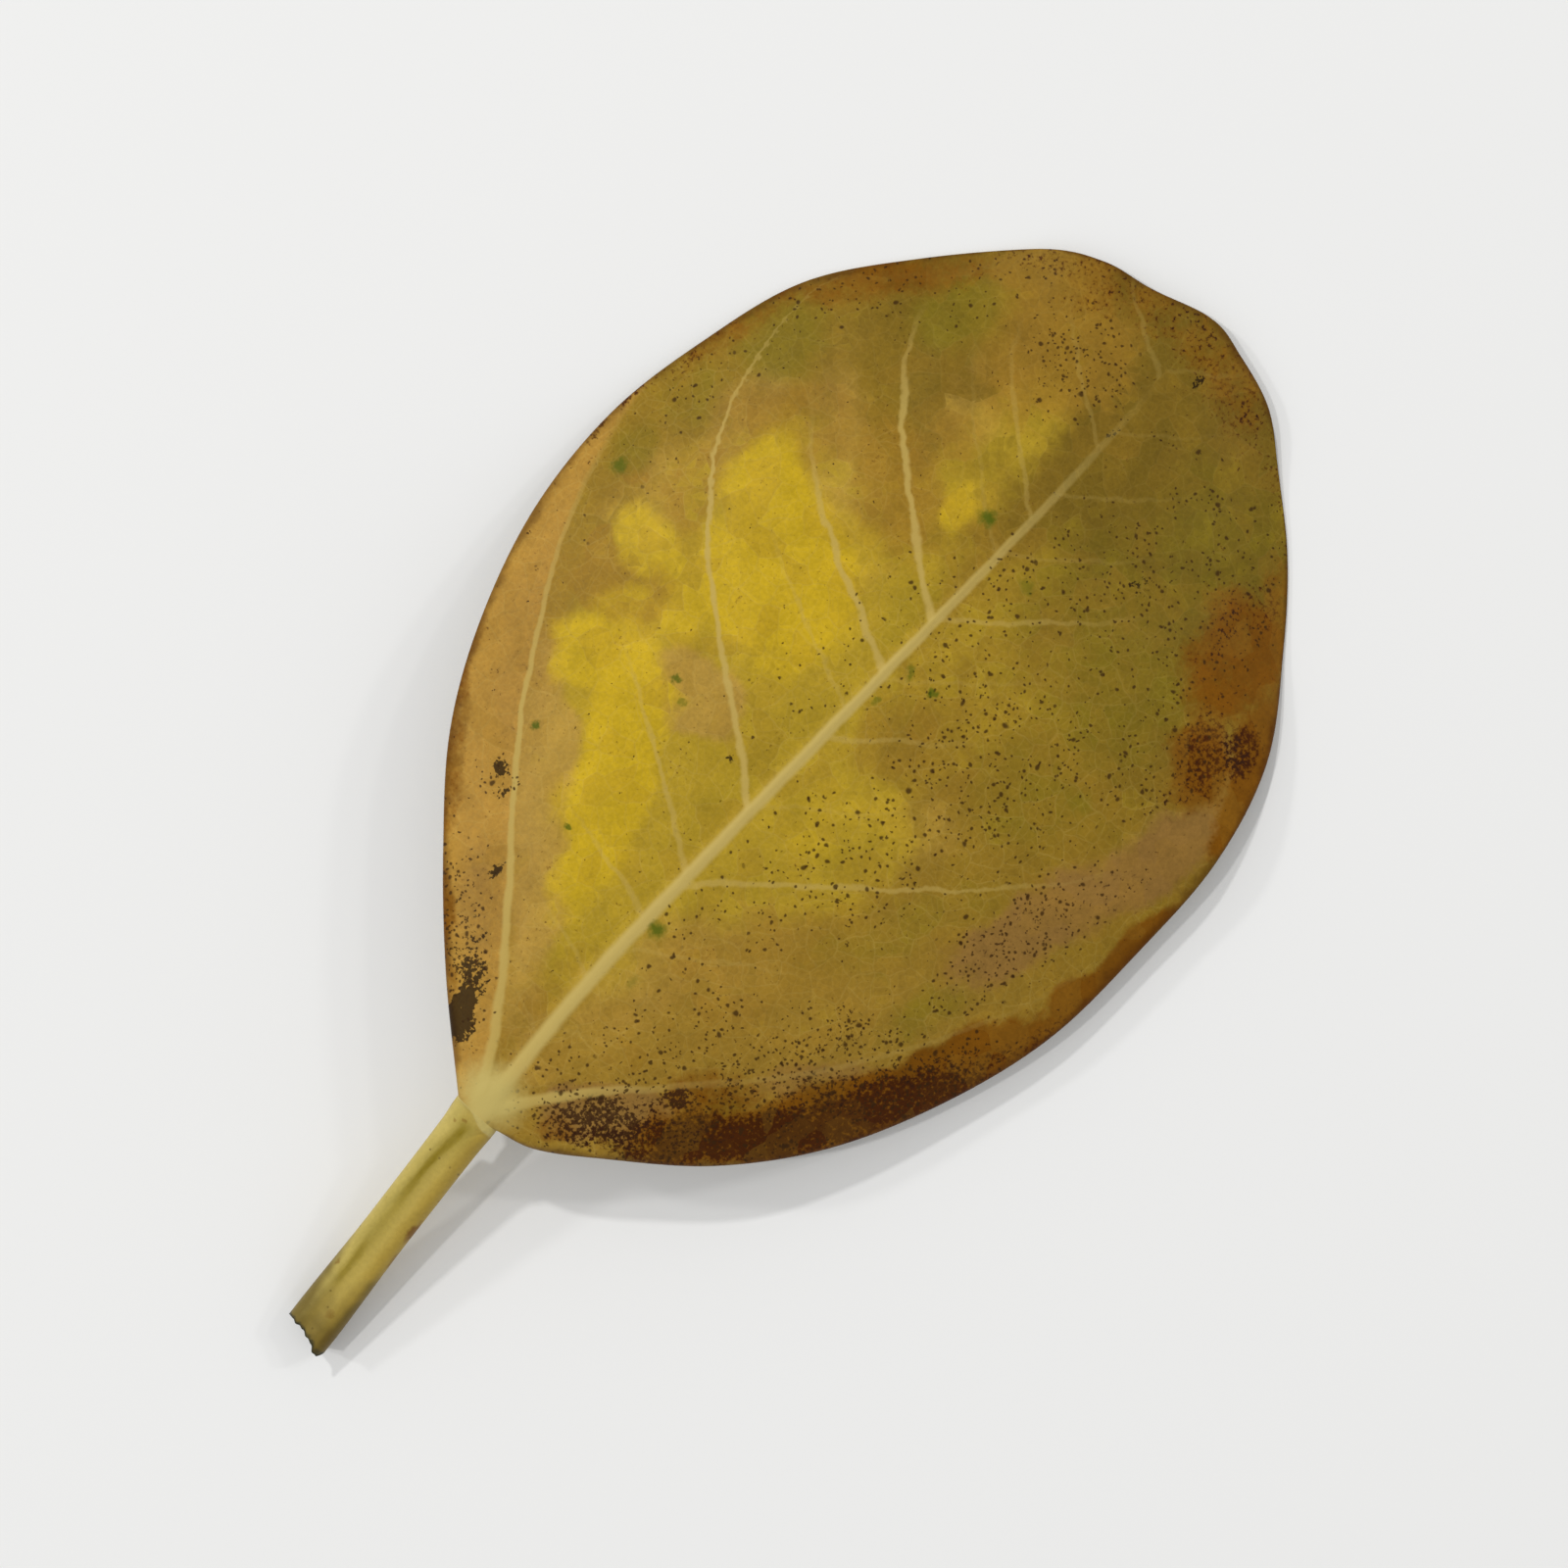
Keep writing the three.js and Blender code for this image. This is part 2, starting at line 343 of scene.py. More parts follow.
def stalkGrid(topRow, bottomRow):    # rings behind the blade, from the cut end to the junction
    shape = stalkShape
    count = len(topRow)
    back = (np.linspace(1, 0, shape["rows"] + 1)[:-1] ** shape["rowCrowding"])[:, None]
    centreX = junction[0] - shape["length"] * back
    centreY = mix(junction[1], shape["endOffset"], back)
    firstZ = junction[2] + bladeShape["thickness"] - shape["halfHeight"][0] - shape["ledge"]
    centreZ = mix(firstZ, shape["endHeight"], back)
    flare = 1 + 0.03 * np.exp(-(back / 0.12) ** 2) + shape["endFlare"] * smoothStep(back, 0.5, 1.0)
    halfWidth = mix(*shape["halfWidth"], back) * flare
    halfHeight = mix(*shape["halfHeight"], back)
    angle = (math.pi * (np.arange(count) + 0.5) / count)[None, :]
    across = np.cos(angle)
    rounding = smoothStep(back, 0.0, shape["roundWithin"])
    groove = shape["groove"] * np.exp(-((across - 0.15) / 0.42) ** 2) * smoothStep(back, 0.03, 0.2)
    near = np.clip(1 - (1 - back) * shape["length"] / shape["tornLength"], 0, 1) ** 2

    def ring(sign, row):
        roundY = centreY + halfWidth * across
        roundZ = centreZ + sign * halfHeight * np.sin(angle) ** 0.8 - (groove if sign > 0 else 0)
        torn = np.interp(across, shape["cutAcross"], shape["cutOut"])
        torn = torn + 0.10 * np.sin(across * 9 + 1 + sign) + 0.07 * np.sin(across * 21 + 2 * sign)
        flatY = row[None, :, 1] - junction[1] + centreY
        flatZ = row[None, :, 2] - firstZ - shape["ledge"] + centreZ
        y = mix(flatY, roundY, rounding)
        share = np.clip((y - centreY) / halfWidth, -1, 1)
        pastLedge = back * shape["length"] - 0.9 * smoothStep(share, 0.3, -0.6)
        step = shape["ledge"] * smoothStep(pastLedge, 0.5, 0.0) if sign > 0 else shape["ledge"]
        z = mix(flatZ + step, roundZ, rounding)
        x = centreX - near * torn
        return np.stack([x + 0 * z, y, np.maximum(z, 0)], -1), share, pastLedge

    top, share, pastLedge = ring(1, topRow)
    bottom = ring(-1, bottomRow)[0]
    return top, bottom, {"stalkShare": back + 0 * share, "stalkAround": share, "pastLedge": pastLedge}


# The colours of the upper face, as linear red, green and blue.
faceColours = {
    "oliveNear": (0.315, 0.185, 0.022),
    "olive": (0.265, 0.158, 0.014),
    "oliveFar": (0.165, 0.102, 0.009),
    "yellow": (0.53, 0.352, 0.0125),
    "yellowOlive": (0.41, 0.275, 0.018),
    "tan": (0.42, 0.25, 0.048),
    "band": (0.45, 0.24, 0.042),
    "brown": (0.29, 0.155, 0.016),
    "green": (0.185, 0.140, 0.008),
    # pinkAndSheen: the leaf's own pinkish brown, and also a painted sheen of light in greyish pink on the
    # lower right of the blade
    "pinkAndSheen": (0.27, 0.145, 0.032),
    "orange": (0.185, 0.068, 0.002),
    "rimBrown": (0.062, 0.015, 0.001),
    "purple": (0.034, 0.011, 0.004),
    "black": (0.012, 0.005, 0.002),
    "speck": (0.040, 0.016, 0.003),
    "vein": (0.50, 0.36, 0.095),
    "rib": (0.56, 0.42, 0.125),
    "hub": (0.53, 0.42, 0.130),
    "leafGreen": (0.055, 0.095, 0.002),
}

# Where each colour lies, in ovals: x, y, half length, half width, turn in degrees, softness, strength.
facePatches = {
    "oliveFar": [
        (114, -4, 26, 50, 0, 0.5, 0.9), (92, -26, 26, 12, 25, 0.5, 0.5),
        (108, 24, 16, 14, 0, 0.5, 0.26), (96, -18, 16, 14, 0, 0.6, 0.5),
    ],
    "yellowOlive": [
        (45, -6, 14, 9, -30, 0.5, 0.85), (48, 5, 34, 9, 4, 0.45, 1), (28, 7, 14, 6, 12, 0.45, 0.9),
        (38, 14, 19, 9, 32, 0.4, 1), (67, 18, 16, 15, 20, 0.35, 1), (55, 25, 14, 9, 10, 0.4, 0.7),
        (72, -10, 12, 7, -30, 0.6, 0.35), (94, 8, 13, 5, 0, 0.6, 0.6), (70, -5, 24, 4, 0, 0.6, 0.4),
        (71, -33, 5, 4, 0, 0.6, 0.2), (86, 8, 6, 4, 0, 0.5, 0.7),
    ],
    "tan": [
        (27, 16.5, 19, 4.2, 42, 0.35, 0.85), (49, 13.5, 4.5, 6.5, 10, 0.25, 0.8),
        (12, 6, 8, 4, 35, 0.4, 0.5), (36, 26, 8, 4, 42, 0.4, 0.8), (63, 33, 12, 5, 10, 0.5, 0.35),
        (80, 19, 5, 14, -35, 0.5, 0.4), (76, 32, 10, 4, 10, 0.5, 0.45), (56, -16, 6, 5, -40, 0.5, 0.3),
        (97, 14, 9, 5, 20, 0.5, 0.3), (22, -5, 14, 5, -10, 0.6, 0.35), (30, -10, 10, 7, -30, 0.6, 0.3),
        (6, -4, 5, 2.4, -35, 0.5, 0.3), (74, -37, 13, 3, -12, 0.6, 0.5),
    ],
    "brown": [
        (52.5, 28.5, 4.2, 6.2, 20, 0.22, 0.8), (54, 32.8, 2.4, 1.9, 0, 0.25, 1),
        (62.8, 37, 1.7, 2, 0, 0.2, 0.7), (108, 12, 10, 10, 0, 0.5, 0.7), (114, 17, 6, 8, 20, 0.4, 0.7),
        (90, 38, 10, 4, -18, 0.5, 0.3), (46, 33, 8, 3.4, 25, 0.4, 0.45), (80, 26, 7, 6, 0, 0.4, 0.5),
        (62, -7, 7, 5, -30, 0.5, 0.4), (45.2, 23.6, 1.6, 1.5, 0, 0.3, 0.6),
        (83, 13, 6, 9, -30, 0.5, 0.6), (32, -13, 16, 7, -20, 0.6, 0.38), (12, -9, 9, 6, -50, 0.6, 0.35),
        (10, 2, 6, 3, 0, 0.6, 0.4), (90, 12, 5, 5, 0, 0.6, 0.4), (67, 30.5, 7, 4, 15, 0.5, 0.5),
        (76, 30, 6, 6, 0, 0.5, 0.5), (38, 27, 5, 3, 40, 0.5, 0.3),
    ],
    "yellow": [
        (38, 14.8, 14, 5, 30, 0.45, 0.95), (44.5, 25.8, 4.6, 4.2, 20, 0.45, 0.8),
        (45, 19, 6, 4, 30, 0.5, 0.4), (66, 16.5, 9.5, 9, 15, 0.42, 1),
        (71, 22.5, 7.5, 5, 30, 0.45, 0.95), (58, 29, 3.2, 6, -15, 0.42, 0.55),
        (28, 10, 8, 2.8, 25, 0.5, 0.75), (56, 22, 6, 3.6, 25, 0.5, 0.45), (74, 12, 4, 4, 0, 0.5, 0.4),
        (50, 26, 4, 4, 0, 0.5, 0.45), (85.5, 6.8, 3.6, 2.2, 20, 0.5, 0.55),
        (49, -7, 6.5, 4, -25, 0.6, 0.3), (54, -13.5, 4.2, 3, 30, 0.5, 0.3), (62, 9, 7, 4, 0, 0.6, 0.62),
    ],
    "green": [
        (87, 36, 6, 5, -20, 0.5, 0.8), (103, 22, 6, 5, -20, 0.5, 0.7), (75, 38, 5, 3.4, 0, 0.5, 0.5),
        (65, 38.5, 4, 2.4, 0, 0.5, 0.6), (88, -12, 12, 10, 0, 0.6, 0.4), (84, -22, 12, 8, 0, 0.6, 0.55),
        (104, -18, 10, 10, 0, 0.6, 0.5), (46, 3, 12, 2.6, 0, 0.6, 0.3), (68, -22, 7, 7, 0, 0.6, 0.5),
        (72, 2.5, 8, 2.5, 0, 0.6, 0.3), (46, -22, 14, 4, -25, 0.6, 0.35),
        (42, -31, 6, 3, -20, 0.6, 0.5), (70.5, -27.5, 1.6, 1.4, 0, 0.5, 0.9),
        (17, -21.5, 2, 1.6, -30, 0.5, 0.9),
    ],
    # the first two pinkAndSheen ovals, on the lower right of the blade, are a painted sheen of light; the
    # others are pinkish brown marks
    "pinkAndSheen": [
        (57, -33, 12, 4.2, -14, 0.5, 0.9), (73, -38.5, 13, 3.8, -12, 0.5, 0.95),
        (15, 14.5, 8, 3, 42, 0.5, 0.45), (36, 28, 8, 3, 38, 0.5, 0.3), (7.5, -12, 8, 3.2, -45, 0.4, 1),
        (27, -27, 8, 2.6, -38, 0.5, 0.7), (85, -37, 5, 3, 20, 0.5, 0.6),
    ],
    "orange": [
        (96, -29, 8, 6.5, 20, 0.4, 0.75), (52, -43.3, 22, 2, -4, 0.4, 1),
        (87, -39.5, 11, 2.6, 22, 0.5, 0.9), (40, -38, 13, 3, -24, 0.4, 1),
        (17, -26, 15, 3.8, -46, 0.4, 1), (101, 31, 13, 2.6, -38, 0.6, 0.6),
        (30, 32.5, 22, 1.4, 38, 0.6, 0.55), (12, 17.5, 10, 1.2, 48, 0.6, 0.6),
        (2.5, -9, 3, 1.5, -60, 0.5, 0.5), (86, 40, 12, 2, -12, 0.6, 0.5),
        (104, -30, 8, 3, 45, 0.5, 0.5), (17, -19.5, 6, 3, -46, 0.5, 0.6), (29, -34, 14, 4, -34, 0.4, 1),
        (84, -34, 6, 4, 20, 0.5, 0.9), (119, 9, 5, 10, 10, 0.6, 0.4), (120, -5, 5, 9, -15, 0.6, 0.45),
    ],
    "rimBrown": [
        (16.5, -25.5, 14, 3.3, -46, 0.4, 1), (31, -35.5, 12, 3, -33, 0.45, 0.9),
        (99, -26, 3, 5, 60, 0.45, 0.3), (85, -34, 5.5, 3.6, 20, 0.6, 0.62),
        (88.5, -37.5, 3.4, 2, 20, 0.5, 0.8), (8, -18, 8, 1.6, -56, 0.5, 0.7),
        (112, -24, 10, 1.6, 58, 0.6, 0.5), (119, 9, 5, 10, 10, 0.5, 0.28),
        (67, 43.8, 5, 0.8, 0, 0.5, 0.6), (80, 42, 9, 0.9, -8, 0.6, 0.4),
        (115, 20, 6, 1.5, -62, 0.5, 0.4), (119, -6, 5, 9, -15, 0.6, 0.32),
        (103, -27.5, 2.2, 2.6, 0, 0.5, 0.4), (93.5, -26, 2.5, 1.2, 0, 0.5, 0.35),
        (45, -41.5, 9, 1.6, -18, 0.5, 0.5),
    ],
    "purple": [
        (6.5, -12.3, 6.5, 2.8, -46, 0.5, 0.6), (14.5, -17.2, 2.4, 1.2, -40, 0.5, 0.65),
        (13, -21, 7, 2.4, -46, 0.5, 0.34), (27, -29.5, 9, 3, -36, 0.5, 0.34),
        (122.5, 2, 3.4, 5, 0, 0.6, 0.32), (119, 10, 3, 5, 15, 0.6, 0.2),
        (88, -37, 2.4, 1.8, 20, 0.5, 0.45), (34, -35, 8, 2.4, -30, 0.5, 0.32),
        (24, -25.5, 5, 2, -40, 0.6, 0.26), (32, -25, 4, 2, -20, 0.6, 0.28),
        (21, -19.5, 4, 2, 20, 0.6, 0.22), (56, -32, 8, 2.6, -14, 0.6, 0.25),
        (96, -26, 6, 1.6, 10, 0.5, 0.28), (118, -11, 2.5, 4, -20, 0.6, 0.24),
        (66, -37, 6, 2, -12, 0.6, 0.24), (79, -34, 4, 2.4, 0, 0.6, 0.28),
        (104, 9, 3, 2.4, 0, 0.6, 0.25), (91, -31, 3, 2, 30, 0.6, 0.25),
    ],
    "black": [
        (5, 7.6, 3.8, 1.7, 40, 0.4, 0.95), (8.5, 9.5, 3, 1.8, 40, 0.6, 0.6),
        (28, 23.8, 1.1, 0.9, 0, 0.5, 0.8), (26, 22, 1.1, 0.6, 20, 0.5, 0.75),
        (19, 16, 1, 0.7, 0, 0.5, 0.75), (116, -3.5, 0.9, 0.8, 0, 0.5, 0.6),
        (94.3, -15, 1.4, 1.2, 0, 0.6, 0.5), (105, -1, 0.9, 0.5, 0, 0.5, 0.6),
        (46.8, 5.9, 0.4, 0.4, 0, 0.5, 0.95), (12, 13.5, 4.5, 2, 50, 0.7, 0.3),
    ],
}

greenSpots = [
    (27, -1.9, 0.9, 0.9, 0, 0.6, 0.85), (87.2, 3.3, 0.9, 1, 0, 0.6, 0.85),
    (28.5, 13.5, 0.4, 0.4, 0, 0.5, 0.8), (34.2, 24, 0.5, 0.5, 0, 0.5, 0.85),
    (49, 16.2, 0.5, 0.5, 0, 0.5, 0.8), (47.5, 13.8, 0.6, 0.4, 0, 0.5, 0.5),
    (62.5, 38.5, 0.9, 0.8, 0, 0.6, 0.7), (68, -6, 0.6, 0.6, 0, 0.5, 0.75),
    (63, -2, 0.6, 0.3, 0, 0.6, 0.5), (68, -2.5, 0.9, 0.4, 30, 0.6, 0.6),
    (84.5, -5.5, 0.8, 0.8, 0, 0.6, 0.4), (21, -4, 0.8, 0.6, 0, 0.6, 0.3),
]

# How far each patch keeps to the little fields between the veins, how soft its edge is, and its strength.
patchEdges = [
    ("oliveFar", 0.2, 0.42, 0.95), ("yellowOlive", 0.5, 0.38, 0.9), ("tan", 0.8, 0.30, 0.8),
    ("brown", 0.9, 0.24, 0.75), ("yellow", 0.8, 0.36, 0.95), ("green", 0.6, 0.38, 0.65),
]

# How dotted the patches near the margin are, and from where to where each one comes in.
rimEdges = [("pinkAndSheen", 0.3, 0.12, 0.85), ("orange", 0.3, 0.12, 0.8), ("rimBrown", 1.9, 0.3, 0.9)]

# How wide the cells are that hold one speck each, and the smallest and the largest speck as shares of it.
speckSizes = [(0.75, 0.12, 0.26), (1.3, 0.10, 0.20), (2.9, 0.05, 0.12)]

# How thickly the specks lie.
speckClouds = [
    (17, -17, 15, 9, -32, 0.5, 0.5), (27, -25, 13, 5, -34, 0.5, 0.85), (48, -13, 12, 8, -30, 0.6, 0.42),
    (67, -17, 12, 10, 0, 0.5, 0.55), (93, -13, 9, 9, 0, 0.5, 0.42), (12, 15, 11, 3.5, 50, 0.5, 0.75),
    (108, 8, 6, 7, 0, 0.5, 0.5), (104.5, 7.5, 2.2, 2, 0, 0.4, 1), (110, 11, 2.4, 3, 0, 0.4, 1),
    (54, -33, 12, 5, -10, 0.5, 0.62), (36, -8, 14, 7, -10, 0.5, 0.22), (27, 23, 3, 2, 0, 0.5, 0.8),
    (82, -30, 9, 6, 0, 0.5, 0.35), (80, -5, 18, 5, 0, 0.5, 0.3), (66, 4, 16, 4, 0, 0.5, 0.1),
    (94, -22, 16, 10, 0, 0.5, 0.3), (107, 24, 12, 7, -30, 0.5, 0.2), (8, -12, 12, 5, -50, 0.5, 0.9),
    (30, -33, 16, 4, -30, 0.5, 0.9), (16, -24, 14, 4, -46, 0.5, 0.9), (57, 5, 8, 5, 0, 0.5, 0.06),
    (106.5, -13, 3.2, 0.7, -52, 0.4, 1), (109, -4, 2, 0.5, -60, 0.4, 1),
    (110, -9, 4, 0.6, -75, 0.5, 0.8), (72, 37, 22, 4, -5, 0.6, 0.14), (6, -3, 8, 3, -20, 0.6, 0.25),
    (76, 40, 4, 2, 0, 0.5, 0.4), (100, 31, 14, 4, -38, 0.6, 0.35),
]


def ovalMask(x, y, ovals):    # 1 inside any of the ovals, 0 outside them all
    total = np.zeros_like(x)
    for centreX, centreY, halfLength, halfWidth, turn, softness, strength in ovals:
        c, s = math.cos(math.radians(turn)), math.sin(math.radians(turn))
        u = ((x - centreX) * c + (y - centreY) * s) / halfLength
        v = ((y - centreY) * c - (x - centreX) * s) / halfWidth
        total = np.maximum(total, strength * (1 - smoothStep(np.hypot(u, v), 1 - softness, 1 + softness)))
    return total


# How the edges of the patches wander: the size of a wave, how far it pushes and its two seeds.
patchDrift = [(11, 1.6, 21, 23), (4.5, 0.7, 22, 24)]


def paintFields(x, y, fields):    # what the finishes read from each point of the blade
    driftX, driftY = x, y
    for size, push, seedX, seedY in patchDrift:
        driftX = driftX + push * slowNoise(x, y, size, seedX)
        driftY = driftY + push * slowNoise(x, y, size, seedY)
    for name, ovals in facePatches.items():
        fields[name] = ovalMask(driftX, driftY, ovals)
    fields["specks"] = ovalMask(driftX, driftY, speckClouds)


def addAttribute(mesh, name, values):
    attribute = mesh.attributes.new(name, "FLOAT", "POINT")
    attribute.data.foreach_set("value", values)


def makeLeaf():
    top, bottom, fields = leafGrid()
    paintFields(top[:, :, 0], top[:, :, 1], fields)
    stalkTop, stalkBottom, stalkFields = stalkGrid(top[0], bottom[0])
    over = np.concatenate([stalkTop, top])
    under = np.concatenate([stalkBottom, bottom])
    rows, columns = over.shape[:2]
    print("leaf: grid of", rows, "rows and", columns, "columns")

    bpy.ops.object.select_all(action="DESELECT")
    bpy.ops.mesh.primitive_grid_add(x_subdivisions=rows - 1, y_subdivisions=columns - 1, size=2)
    leaf = bpy.context.object
    leaf.name = "leafBladeAndStalk"
    mesh = leaf.data
    flat = np.empty(len(mesh.vertices) * 3)
    mesh.vertices.foreach_get("co", flat)
    flat = flat.reshape(-1, 3)
    row = np.rint((flat[:, 0] + 1) / 2 * (rows - 1)).astype(int)
    column = np.rint((1 - flat[:, 1]) / 2 * (columns - 1)).astype(int)    # left margin first
    mesh.vertices.foreach_set("co", (over[row, column] * mm).ravel())
    mesh.update()

    sheet = leaf.modifiers.new("thickness", "SOLIDIFY")
    sheet.thickness = bladeShape["thickness"] * mm
    sheet.offset = -1
    bpy.ops.object.modifier_apply(modifier=sheet.name)
    count = rows * columns
    placed = np.concatenate([over[row, column], under[row, column]])
    mesh.vertices.foreach_set("co", (placed * mm).ravel())
    mesh.update()

    stalkRows = stalkTop.shape[0]
    for key, values in fields.items():
        data = np.concatenate([np.repeat(values[:1], stalkRows, axis=0), values])[row, column]
        addAttribute(mesh, key, np.concatenate([data, data]))
    for key, values in stalkFields.items():
        data = np.concatenate([values, np.zeros((rows - stalkRows, columns))])[row, column]
        addAttribute(mesh, key, np.concatenate([data, data]))
    addAttribute(mesh, "isUpper", np.concatenate([np.ones(count), np.zeros(count)]))

    # which finish each face takes: upper face, underside, stalk, cut end
    corners = np.empty(len(mesh.loops), int)
    mesh.loops.foreach_get("vertex_index", corners)
    starts = np.empty(len(mesh.polygons), int)
    mesh.polygons.foreach_get("loop_start", starts)
    rowOf = np.concatenate([row, row])[corners]
    below = (corners >= count).astype(int)
    lowest, highest = np.minimum.reduceat(rowOf, starts), np.maximum.reduceat(rowOf, starts)
    allBelow = np.minimum.reduceat(below, starts)
    kind = np.where(allBelow == 1, 1, 0)
    kind = np.where(lowest < stalkRows, 2, kind)
    kind = np.where(highest == 0, 3, kind)
    mesh.polygons.foreach_set("material_index", kind.astype(np.int32))
    return leaf


def cutEnd(leaf):    # the torn end of the stalk is sunk in steps and closed in the middle
    mesh = leaf.data
    bpy.ops.object.mode_set(mode="EDIT")
    bpy.ops.mesh.select_mode(type="FACE")
    bpy.ops.mesh.select_all(action="DESELECT")
    bpy.ops.object.mode_set(mode="OBJECT")
    capPoints = set()
    for face in mesh.polygons:
        face.select = face.material_index == 3
        if face.select:
            capPoints.update(face.vertices)
    centre = np.mean([mesh.vertices[index].co[:] for index in sorted(capPoints)], axis=0)
    bpy.ops.object.mode_set(mode="EDIT")
    bpy.ops.mesh.dissolve_faces()
    before = 1.0
    for size, depth in stalkShape["cutSteps"]:
        bpy.ops.mesh.extrude_region_move(TRANSFORM_OT_translate={"value": (depth * mm, 0, 0)})
        ratio = size / before
        bpy.ops.transform.resize(value=(0.9, ratio, ratio), center_override=tuple(centre))
        before = size
    bpy.ops.mesh.poke()
    bpy.ops.object.mode_set(mode="OBJECT")


def putInPlace(piece):    # from the drawing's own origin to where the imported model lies
    low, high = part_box("leaf")
    places = np.empty(len(piece.data.vertices) * 3)
    piece.data.vertices.foreach_get("co", places)
    places = places.reshape(-1, 3)
    middle = (places[:, 1].min() + places[:, 1].max()) / 2
    shift = (low[0] + (stalkShape["length"] - junction[0]) * mm, (low[1] + high[1]) / 2 - middle, low[2])
    piece.data.vertices.foreach_set("co", (places + shift).ravel())
    piece.data.update()
    return shift


print("leaf: outline and grid")
leaf = makeLeaf()
cutEnd(leaf)
print("leaf: cut end,", len(leaf.data.vertices), "vertices")
shift = putInPlace(leaf)
print("leaf: shifted by", shift)
bpy.ops.object.select_all(action="DESELECT")
leaf.select_set(True)
bpy.context.view_layer.objects.active = leaf
bpy.ops.object.shade_smooth_by_angle(angle=math.radians(60))


class Wire:    # an output socket that can stand in a sum
    def __init__(self, finish, socket):
        self.finish = finish
        self.socket = socket

    def join(self, operation, first, second):
        return self.finish.node("ShaderNodeMath", {"operation": operation}, {0: first, 1: second})

    def over(self, other):    # the larger of the two
        return self.join("MAXIMUM", self, other)

    def under(self, other):    # the smaller of the two
        return self.join("MINIMUM", self, other)

    def size(self):
        return self.join("ABSOLUTE", self, 0)


for sign, operation in (("add", "ADD"), ("sub", "SUBTRACT"), ("mul", "MULTIPLY"), ("truediv", "DIVIDE")):
    setattr(Wire, f"__{sign}__", lambda self, other, kind=operation: self.join(kind, self, other))
    setattr(Wire, f"__r{sign}__", lambda self, other, kind=operation: self.join(kind, other, self))


# Each finish: roughness, gloss, and the strength and the height in metres of its relief.
looks = {
    "bladeFace": (0.44, 0.06, 0.5, 0.0001),
    "bladeUnderside": (0.7, 0.2, 0.6, 0.00015),
    "stalkSkin": (0.45, 0.15, 0.5, 0.00015),
    "stalkCut": (0.8, 0.2, 0.8, 0.0002),
}


